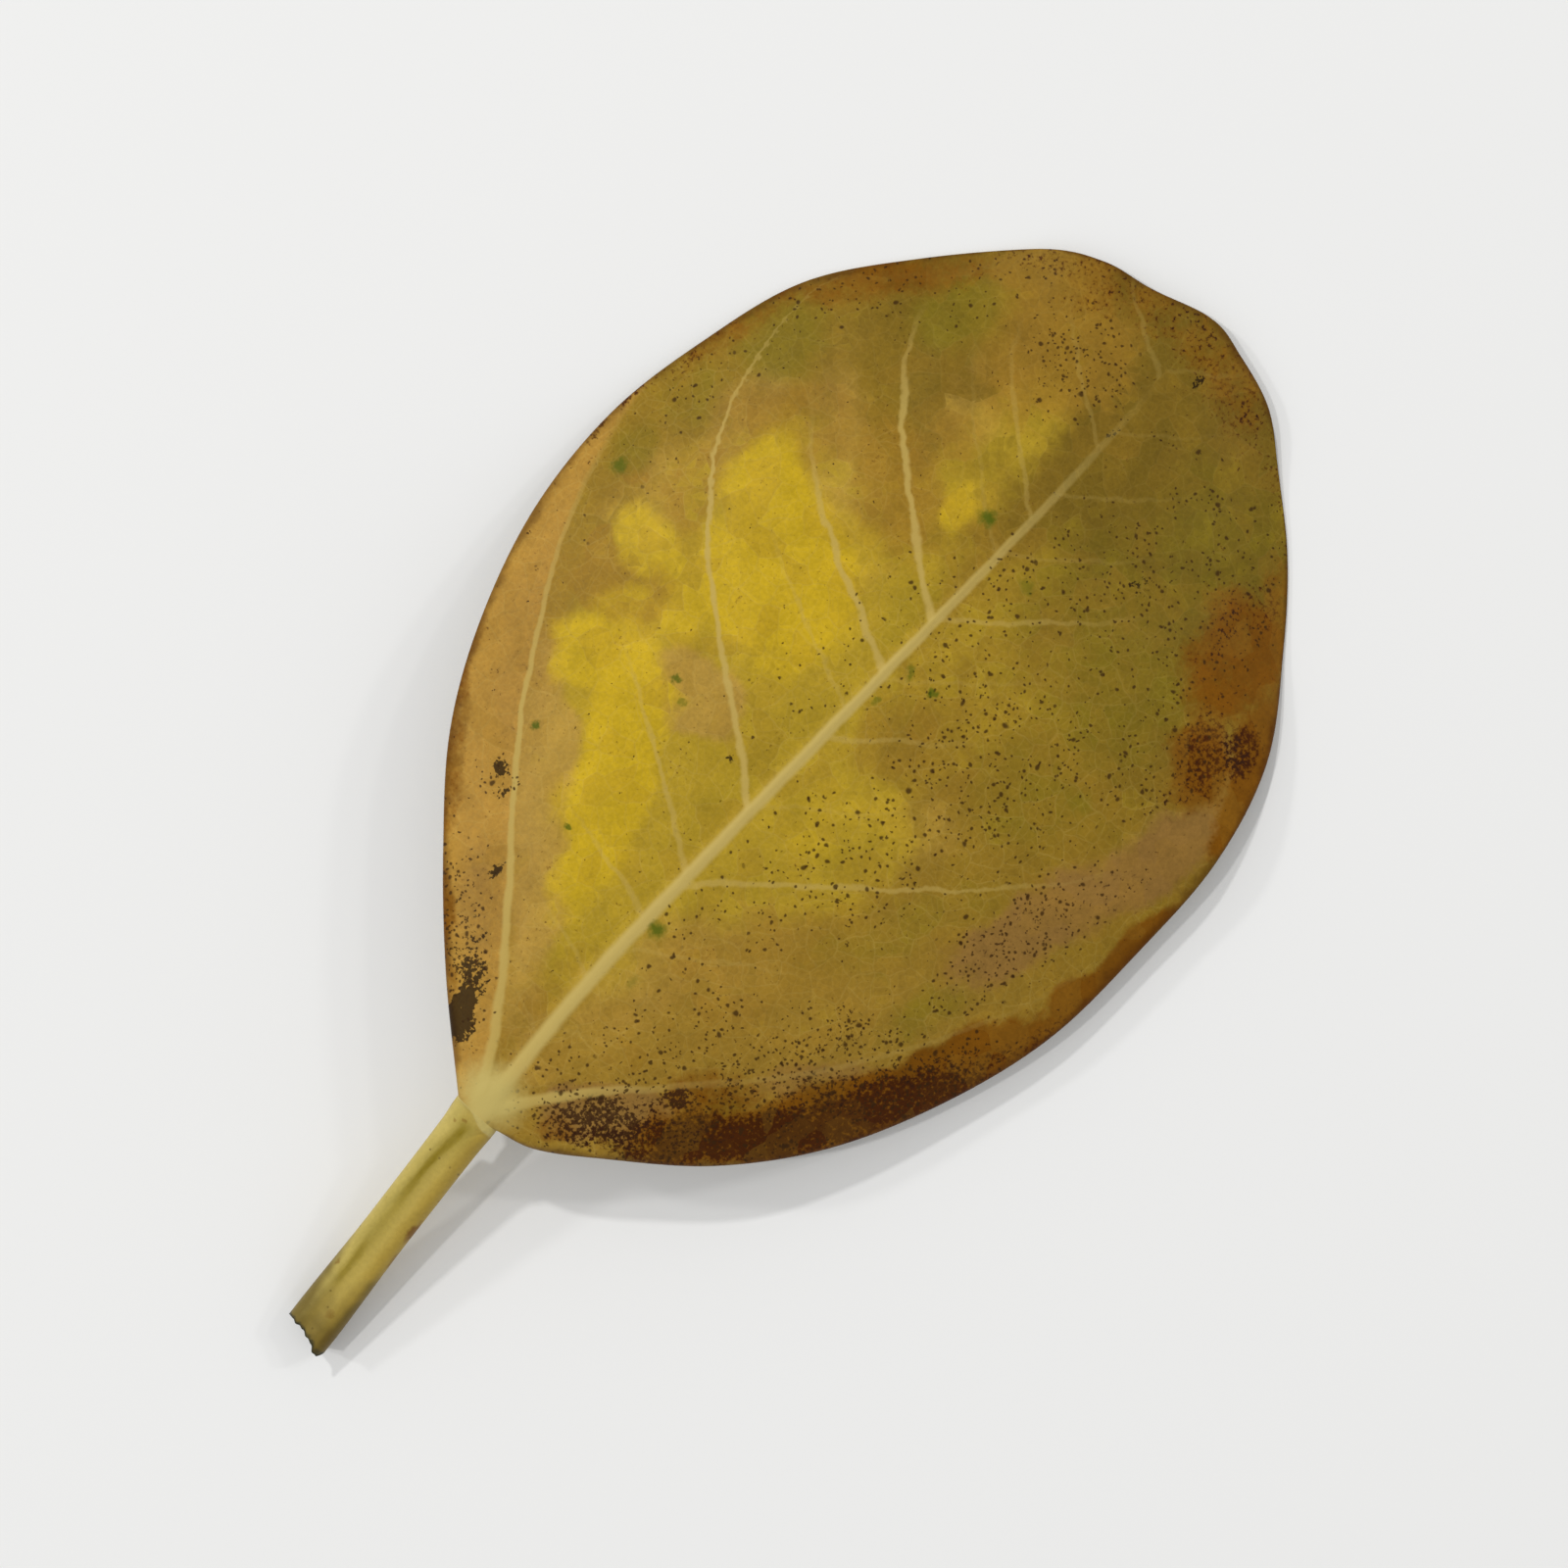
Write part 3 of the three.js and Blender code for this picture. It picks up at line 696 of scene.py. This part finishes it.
class Finish:    # one material and the nodes that make it
    def __init__(self, name):
        self.material = bpy.data.materials.new(name)
        self.material.use_nodes = True
        self.tree = self.material.node_tree
        self.shader = self.tree.nodes["Principled BSDF"]
        seen = self.node("ShaderNodeTexCoord", take="Object")
        self.place = self.node(    # the drawing's own millimetres, laid flat
            "ShaderNodeVectorMath", {"operation": "MULTIPLY_ADD"},
            {0: seen, 1: (1000, 1000, 0), 2: (-shift[0] * 1000, -shift[1] * 1000, 0)},
        )

    def node(self, kind, settings=None, sockets=None, take=0):
        made = self.tree.nodes.new(kind)
        for key, value in (settings or {}).items():
            setattr(made, key, value)
        for key, value in (sockets or {}).items():
            if isinstance(value, Wire):
                self.tree.links.new(value.socket, made.inputs[key])
            else:
                made.inputs[key].default_value = value
        if isinstance(take, tuple):
            return tuple(Wire(self, made.outputs[key]) for key in take)
        return Wire(self, made.outputs[take])

    def drive(self, name, value):    # a wire or a plain value into one of the shader's inputs
        if isinstance(value, Wire):
            self.tree.links.new(value.socket, self.shader.inputs[name])
        else:
            self.shader.inputs[name].default_value = value

    def close(self, skin, height, uneven=0):    # colour, relief and how uneven the roughness is
        roughness, gloss, strength, distance = looks[self.material.name]
        sockets = {"Strength": strength, "Distance": distance, "Height": height}
        self.drive("Base Color", skin)
        self.drive("Roughness", roughness + uneven)
        self.drive("Specular IOR Level", gloss)
        self.drive("Normal", self.node("ShaderNodeBump", {}, sockets, "Normal"))
        return self.material

    def attribute(self, name):
        return self.node("ShaderNodeAttribute", {"attribute_name": name}, take="Fac")

    def smooth(self, value, low, high, top=1.0):
        sockets = {"Value": value, "From Min": low, "From Max": high, "To Max": top}
        return self.node("ShaderNodeMapRange", {"interpolation_type": "SMOOTHSTEP"}, sockets)

    def blend(self, first, second, factor):    # from one colour to another
        first = (*first, 1) if isinstance(first, tuple) else first
        second = (*second, 1) if isinstance(second, tuple) else second
        settings = {"data_type": "RGBA", "clamp_factor": True}
        return self.node("ShaderNodeMix", settings, {0: factor, 6: first, 7: second}, 2)

    def shade(self, colour, amount):    # a colour made lighter or darker by a number
        settings = {"operation": "SCALE"}
        return self.node("ShaderNodeVectorMath", settings, {0: colour, "Scale": amount})

    def noise(self, place, size, detail=2.0, roughness=0.5, take="Fac"):    # size in millimetres
        sockets = {"Vector": place, "Scale": 1 / size, "Detail": detail, "Roughness": roughness}
        return self.node("ShaderNodeTexNoise", {"noise_dimensions": "2D"}, sockets, take)

    def cells(self, place, size, take, feature="F1"):
        settings = {"voronoi_dimensions": "2D", "feature": feature}
        sockets = {"Vector": place, "Scale": 1 / size}
        return self.node("ShaderNodeTexVoronoi", settings, sockets, take)

    def split(self, colour):    # two plain numbers from a random colour
        return self.node("ShaderNodeSeparateColor", {}, {0: colour}, ("Red", "Green"))

    def shift(self, place, colour, amount):    # moves a place about by a noise colour
        spread = self.node(
            "ShaderNodeVectorMath", {"operation": "MULTIPLY_ADD"},
            {0: colour, 1: (amount, amount, 0), 2: (-amount / 2, -amount / 2, 0)},
        )
        return self.node("ShaderNodeVectorMath", {"operation": "ADD"}, {0: place, 1: spread})

    def oval(self, place, oval):    # 1 inside an oval, 0 outside it
        x, y, halfLength, halfWidth, turn, softness, strength = oval
        near = self.node(
            "ShaderNodeMapping", {"vector_type": "TEXTURE"},
            {
                "Vector": place, "Location": (x, y, 0), "Rotation": (0, 0, math.radians(turn)),
                "Scale": (halfLength, halfWidth, 1),
            },
        )
        away = self.node("ShaderNodeVectorMath", {"operation": "LENGTH"}, {0: near}, "Value")
        return self.smooth(away, 1 + softness, 1 - softness, strength)

    def ovals(self, place, ovals):    # the strongest of several ovals
        total = self.oval(place, ovals[0])
        for oval in ovals[1:]:
            total = total.over(self.oval(place, oval))
        return total


netSizes = {"field": 3.1, "smallField": 1.15, "drift": 2.5}


def bladeNoise(finish):    # what both faces share: a place that drifts, and three sizes of cloud
    drift = finish.noise(finish.place, 7, 3, 0.55, "Color")
    loose = finish.shift(finish.place, drift, netSizes["drift"])
    fine = finish.noise(finish.place, 1.8, 3, 0.6)
    cloudy = finish.noise(finish.place, 13, 4, 0.6)
    patchy = finish.noise(finish.place, 5, 3, 0.6)
    return loose, fine, cloudy, patchy


def veinNets(finish, loose):    # how far each point is from the small and from the larger net of veins
    small = finish.cells(loose, netSizes["smallField"], "Distance", "DISTANCE_TO_EDGE")
    large = finish.cells(loose, netSizes["field"], "Distance", "DISTANCE_TO_EDGE")
    return small, large


def makeFaceFinish():
    finish = Finish("bladeFace")
    colour = faceColours
    place = finish.place
    loose, fine, cloudy, patchy = bladeNoise(finish)
    fieldTint = finish.cells(loose, netSizes["field"], "Color")
    fieldTone, fieldDice = finish.split(fieldTint)
    smallTint = finish.cells(loose, netSizes["smallField"], "Color")
    smallTone, smallDice = finish.split(smallTint)
    fibre = finish.noise(place, 0.5, 2, 0.6)

    # the ground darkens towards the tip, and patches end where the little fields between the veins end
    x = finish.node("ShaderNodeSeparateXYZ", {}, {0: place}, "X")
    further = finish.smooth(x + 40 * (cloudy - 0.5), 30, 70)
    skin = finish.blend(colour["oliveNear"], colour["olive"], further)
    stepped = 0.30 * (fieldDice - 0.5) + 0.16 * (smallDice - 0.5)
    broken = 0.5 * (fine - 0.5) + 0.5 * (patchy - 0.5)
    for name, jump, soft, strength in patchEdges:
        mask = finish.attribute(name) + jump * stepped + (1 - 0.6 * jump) * broken
        skin = finish.blend(skin, colour[name], finish.smooth(mask, 0.42 - soft, 0.42 + soft, strength))

    # the band outside the basal vein of the left half
    fromBasal = finish.attribute("fromBasal")
    sideSign = finish.attribute("sideSign")
    leftHalf = finish.smooth(sideSign, -0.5, 0.5)
    skin = finish.blend(skin, colour["band"], finish.smooth(fromBasal, -0.6, 0.6) * leftHalf * 0.75)
    net, bigNet = veinNets(finish, loose)
    nets = finish.smooth(net, 0.10, 0.0, 0.10).over(finish.smooth(bigNet, 0.05, 0.0, 0.16))
    nets = nets * (0.4 + 1.2 * patchy) * (1 - finish.smooth(x, 70, 100, 0.6))
    skin = finish.blend(skin, colour["vein"], nets)
    grain = finish.noise(place, 0.55, 2, 0.6)
    # patches near the margin; the greyish pink on the lower right is partly a painted sheen of light
    for name, dotted, low, high in rimEdges:
        mask = finish.attribute(name) + broken + dotted * (grain - 0.5)
        skin = finish.blend(skin, colour[name], finish.smooth(mask, low, high))

    # each little field has its own tone, some more yellow, some more brown
    browner = finish.smooth(fieldTone + 0.4 * (patchy - 0.5), 0.45, 1.0, 0.22)
    skin = finish.blend(skin, colour["brown"], browner)
    tone = 0.10 * (smallTone - 0.5) + 0.35 * (fibre - 0.5) + 0.35 * (cloudy - 0.5) + 0.35 * (patchy - 0.5)
    skin = finish.shade(skin, 1.0 + tone)

    # rim
    fromMargin = finish.attribute("fromMargin")
    rim = finish.smooth(fromMargin + 2.4 * (patchy - 0.5), 1.3, 0.0)
    skin = finish.blend(skin, colour["rimBrown"], rim * 0.55)

    # blotches made of crowded dots
    for name, low, high in (("purple", 0.38, 0.66), ("black", 0.40, 0.60)):
        mask = finish.attribute(name) + 1.5 * (grain - 0.5) + 0.6 * (fine - 0.5)
        skin = finish.blend(skin, colour[name], finish.smooth(mask, low, high, 0.88))

    # veins
    veinPlace = finish.attribute("veinPlace")
    nearest = finish.node("ShaderNodeMath", {"operation": "ROUND"}, {0: veinPlace})
    gap = finish.attribute("veinGap")
    wander = 0.35 * (fine - 0.5) + 1.3 * (patchy - 0.5)
    fromVein = ((veinPlace - nearest) * gap + wander).size()
    strength = finish.attribute("veinStrength")
    out = finish.attribute("outShare")
    inside = finish.smooth(fromBasal, 0.2, -0.4)
    width = (0.52 - 0.28 * out) * (0.5 + 0.5 * strength)
    fading = finish.smooth(out - finish.attribute("veinReach"), 0.10, -0.30)
    vein = finish.smooth(fromVein / width, 1.25, 0.3) * strength * fading * inside
    basalWidth = finish.smooth(out, 0.9, 0.1, 0.6) + 0.32
    rightFade = 0.18 + 0.82 * finish.smooth(out, 0.66, 0.42)
    basalFade = (leftHalf + (1 - leftHalf) * rightFade) * finish.smooth(out, 1.0, 0.75)
    basal = finish.smooth((fromBasal + 0.6 * wander).size() / basalWidth, 1.25, 0.4) * basalFade
    fromMidrib = (finish.attribute("fromMidrib") + 0.3 + 0.25 * wander).size()
    along = finish.attribute("alongShare")
    ribWidth = 0.98 - 0.62 * along
    rib = finish.smooth(fromMidrib / ribWidth, 1.35, 0.45) * finish.smooth(along, 0.95, 0.5)
    skin = finish.blend(skin, colour["vein"], (vein * 0.8).over(basal * 0.85))
    skin = finish.blend(skin, colour["rib"], rib * 0.9)

    # specks, which gather in knots
    knots = finish.smooth(finish.noise(place, 3.2, 2, 0.6), 0.36, 0.62)
    density = finish.attribute("specks") * (1 - rib * 0.8) * (0.25 + 1.5 * knots)
    speckPlace = finish.shift(place, finish.noise(place, 1.2, 1, 0.5, "Color"), 0.5)
    for size, least, most in speckSizes:
        away, dice = finish.cells(speckPlace, size, ("Distance", "Color"))
        red, green = finish.split(dice)
        reach = least + (most - least) * green
        dot = finish.smooth(away / reach, 1.35, 0.5) * finish.smooth(density * 0.7 - red, -0.005, 0.03)
        skin = finish.blend(skin, colour["speck"], dot * 0.85)
    edgePlace = finish.shift(place, finish.noise(place, 0.9, 2, 0.6, "Color"), 1.2)
    skin = finish.blend(skin, colour["leafGreen"], finish.ovals(edgePlace, greenSpots))

    # the pale hub
    hub = finish.oval(edgePlace, (0.2, -1.2, 3.2, 3.6, 0, 0.6, 0.9))
    skin = finish.blend(skin, colour["hub"], hub)

    height = net.under(0.12) * 0.5 + 0.25 * fibre + bigNet.under(0.1) * 0.8
    return finish.close(skin, height, 0.14 * (fibre - 0.5))


stalkColours = {
    "skin": (0.455, 0.335, 0.070),
    # paintedLitSide: painted light, the paler yellow of the stalk's left side, which faces the lamps
    "paintedLitSide": (0.51, 0.40, 0.105),
    "golden": (0.42, 0.280, 0.040),
    "dull": (0.31, 0.235, 0.035),
    "streak": (0.22, 0.155, 0.004),
    "rust": (0.20, 0.085, 0.006),
    "stain": (0.120, 0.080, 0.012),
    "base": (0.53, 0.42, 0.130),
    "cutRim": (0.030, 0.030, 0.014),
    "cutFlesh": (0.30, 0.27, 0.13),
}

# Brown marks on the stalk: x, y, half length, half width, turn, softness and strength.
stalkMarks = [
    (-18.3, -5.8, 1.4, 0.5, 4, 0.4, 0.9), (-22.5, -6.4, 1.4, 0.3, 6, 0.6, 0.6),
    (-32.4, -5.2, 0.5, 0.4, 20, 0.7, 0.5), (-13.5, -5.5, 0.3, 0.2, 0, 0.5, 0.6),
    (-27.2, -1.6, 0.4, 0.2, 0, 0.7, 0.6), (-10, -5.2, 0.2, 0.2, 0, 0.5, 0.7),
    (-4, -1, 0.25, 0.25, 0, 0.5, 0.5), (-5, -0.2, 0.2, 0.2, 0, 0.5, 0.5),
    (-35, -7.2, 1.4, 0.6, 10, 0.6, 0.6),
]


def makeStalkFinish():
    finish = Finish("stalkSkin")
    colour = stalkColours
    place = finish.place
    back = finish.attribute("stalkShare")
    around = finish.attribute("stalkAround")
    upper = finish.attribute("isUpper")
    long = finish.node("ShaderNodeMapping", {}, {"Vector": place, "Scale": (0.25, 1, 1)})
    strands = finish.noise(long, 1.2, 4, 0.6)
    cloudy = finish.noise(place, 4, 3, 0.55)
    grain = finish.noise(place, 0.5, 2, 0.6)
    across = around + 0.5 * (cloudy - 0.5)
    # painted light: the stalk's left side, towards the lamps, is painted paler, and its right side takes
    # a darker gold
    skin = finish.blend(colour["skin"], colour["paintedLitSide"], finish.smooth(across, 0.2, 0.7))
    skin = finish.blend(skin, colour["golden"], finish.smooth(across, -0.1, -0.8, 0.85))

    # an olive streak lies in the groove, strongest near the blade
    centre = 0.02 + finish.smooth(back, 0.03, 0.30, 0.30)
    beside = (around - centre + 0.3 * (strands - 0.5)).size()
    firstStretch = finish.smooth(back, 0.03, 0.09) * finish.smooth(back, 0.50, 0.26)
    lastStretch = finish.smooth(back, 0.56, 0.64) * finish.smooth(back, 0.82, 0.74)
    dull = finish.smooth(beside, 0.75, 0.1, 0.6)
    dull = dull * finish.smooth(back, 0.02, 0.06) * finish.smooth(back, 0.95, 0.5)
    skin = finish.blend(skin, colour["dull"], dull * upper)
    streak = finish.smooth(beside, 0.26, 0.04) * (0.85 * firstStretch).over(0.6 * lastStretch)
    streak = streak * (0.3 + 1.3 * strands)
    skin = finish.blend(skin, colour["streak"], streak * upper)

    # rust and brown marks along the right edge, brown olive stains towards the cut
    spots = finish.ovals(finish.shift(place, finish.noise(place, 1.4, 2, 0.6, "Color"), 1.0), stalkMarks)
    skin = finish.blend(skin, colour["rust"], spots)
    edges = finish.smooth(around.size(), 0.55, 1.0)
    stains = finish.smooth(back + 0.30 * (cloudy - 0.5) + 0.20 * edges, 0.70, 1.02)
    skin = finish.blend(skin, colour["stain"], stains * 0.85)
    skin = finish.blend(skin, colour["cutRim"], finish.smooth(back + 0.02 * (grain - 0.5), 0.98, 1.0))
    skin = finish.blend(skin, colour["base"], finish.smooth(finish.attribute("pastLedge"), 0.35, 0.0))
    away, dice = finish.cells(place, 1.6, ("Distance", "Color"))
    chance = finish.split(dice)[0]
    dot = finish.smooth(away, 0.12, 0.05) * finish.smooth(chance, 0.14, 0.10)
    skin = finish.blend(skin, colour["stain"], dot * 0.6)
    skin = finish.shade(skin, 1.0 + 0.22 * (strands - 0.5) + 0.22 * (grain - 0.5))

    return finish.close(skin, 0.6 * strands + 0.25 * grain)


def makeCutFinish():
    finish = Finish("stalkCut")
    colour = stalkColours
    seen = finish.node("ShaderNodeTexCoord", take="Object")
    sockets = {"Vector": seen, "Scale": 1400.0, "Detail": 3.0}
    grain = finish.node("ShaderNodeTexNoise", {}, sockets, "Fac")
    pores = finish.node("ShaderNodeTexVoronoi", {}, {"Vector": seen, "Scale": 2600.0}, "Distance")
    skin = finish.blend(colour["cutFlesh"], colour["stain"], finish.smooth(grain, 0.35, 0.62))
    skin = finish.blend(skin, colour["cutRim"], finish.smooth(pores, 0.35, 0.15, 0.7))
    return finish.close(skin, grain + 0.6 * pores)


undersideColours = {
    "ground": (0.30, 0.215, 0.062),
    "far": (0.20, 0.14, 0.045),
    "yellow": (0.46, 0.335, 0.065),
    "brown": (0.20, 0.105, 0.022),
    "dark": (0.070, 0.034, 0.012),
    "vein": (0.47, 0.37, 0.145),
    "net": (0.40, 0.30, 0.105),
}


def makeUndersideFinish():    # paler and duller than the face, with its veins standing out
    finish = Finish("bladeUnderside")
    colour = undersideColours
    place = finish.place
    loose, fine, cloudy, patchy = bladeNoise(finish)
    grain = finish.noise(place, 0.5, 2, 0.6)
    broken = 0.5 * (fine - 0.5) + 0.5 * (patchy - 0.5)
    far = finish.smooth(finish.attribute("oliveFar") + broken, 0.1, 0.8)
    skin = finish.blend(colour["ground"], colour["far"], far)
    for name, tint, strength in (
        ("yellow", "yellow", 0.7), ("brown", "brown", 0.35), ("orange", "brown", 0.6),
        ("rimBrown", "dark", 0.6), ("purple", "dark", 0.7), ("black", "dark", 0.8),
    ):
        mask = finish.smooth(finish.attribute(name) + broken, 0.15, 0.85, strength)
        skin = finish.blend(skin, colour[tint], mask)
    net, bigNet = veinNets(finish, loose)
    nets = finish.smooth(net, 0.12, 0.0, 0.4).over(finish.smooth(bigNet, 0.07, 0.0, 0.7))
    skin = finish.blend(skin, colour["net"], nets)
    veinPlace = finish.attribute("veinPlace")
    nearest = finish.node("ShaderNodeMath", {"operation": "ROUND"}, {0: veinPlace})
    fromVein = (veinPlace - nearest).size() * finish.attribute("veinGap")
    fromBasal = finish.attribute("fromBasal")
    inside = finish.smooth(fromBasal, 0.2, -0.4)
    strength = finish.attribute("veinStrength")
    vein = finish.smooth(fromVein, 0.9, 0.35) * (0.35 + 0.65 * strength) * inside
    basal = finish.smooth(fromBasal.size(), 1.1, 0.5)
    ribWidth = 2.6 - 1.7 * finish.attribute("alongShare")
    rib = finish.smooth(finish.attribute("fromMidrib").size() / ribWidth, 1.05, 0.85)
    skin = finish.blend(skin, colour["vein"], (vein * 0.8).over(basal * 0.8).over(rib * 0.9))
    skin = finish.shade(skin, 1.0 + 0.3 * (cloudy - 0.5) + 0.3 * (grain - 0.5))
    height = finish.smooth(net, 0.12, 0.0, 0.5) + finish.smooth(bigNet, 0.07, 0.0) + 0.3 * grain
    return finish.close(skin, height)


for makeFinish in (makeFaceFinish, makeUndersideFinish, makeStalkFinish, makeCutFinish):
    leaf.data.materials.append(makeFinish())
    print("leaf:", leaf.data.materials[-1].name)

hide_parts("leaf")
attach(leaf, "root")

stage = {
    "floorHalf": 1.5,
    "paper": (0.86, 0.86, 0.85),
    "ambient": 0.505,
    "lampDistance": 3.0,
}


def makeFloor():
    bpy.ops.object.select_all(action="DESELECT")
    bpy.ops.mesh.primitive_plane_add(size=stage["floorHalf"] * 2)
    floor = bpy.context.object
    floor.name = "floor"
    paper = bpy.data.materials.new("paperWhite")
    paper.use_nodes = True
    shader = paper.node_tree.nodes["Principled BSDF"]
    shader.inputs["Base Color"].default_value = (*stage["paper"], 1)
    shader.inputs["Roughness"].default_value = 0.9
    floor.data.materials.append(paper)


makeFloor()

lamps = [    # name, azimuth and height of the lamp in degrees, its size in metres, and its strength
    ("ceilingBehind", 69, 46.8, 0.14, 21.5),
    ("ceilingLeft", 129, 56.9, 0.14, 16.5),
    ("farLeft", 109, 31.2, 0.2, 12.0),
    ("rightNear", -13, 42.2, 0.2, 4.6),
    ("rightFar", -22, 34.9, 0.2, 6.2),
]


def makeLamps():
    for name, azimuth, height, size, power in lamps:
        light = bpy.data.lights.new(name, "AREA")
        light.size = size
        light.energy = power
        lamp = bpy.data.objects.new(name, light)
        bpy.context.scene.collection.objects.link(lamp)
        turn, rise = math.radians(azimuth), math.radians(height)
        reach = stage["lampDistance"]
        flat = reach * math.cos(rise)
        lamp.location = (flat * math.cos(turn), flat * math.sin(turn), reach * math.sin(rise))
        lamp.rotation_euler = (math.radians(90 - height), 0, turn + math.pi / 2)
    world = bpy.data.worlds.new("room")
    bpy.context.scene.world = world
    world.use_nodes = True
    background = world.node_tree.nodes["Background"]
    background.inputs["Color"].default_value = (1, 1, 1, 1)
    background.inputs["Strength"].default_value = stage["ambient"]


makeLamps()
bpy.context.scene.view_settings.view_transform = "Standard"

cameraPlace = {"height": 0.300, "lens": 58.05, "turn": -46.32, "over": (48.87, -0.89)}


def makeCamera():
    data = bpy.data.cameras.new("above")
    data.lens = cameraPlace["lens"]
    data.clip_start = 0.01
    camera = bpy.data.objects.new("camera", data)
    bpy.context.scene.collection.objects.link(camera)
    x, y = cameraPlace["over"]
    camera.location = (x * mm + shift[0], y * mm + shift[1], cameraPlace["height"])
    camera.rotation_euler = (0, 0, math.radians(cameraPlace["turn"]))
    bpy.context.scene.camera = camera


makeCamera()
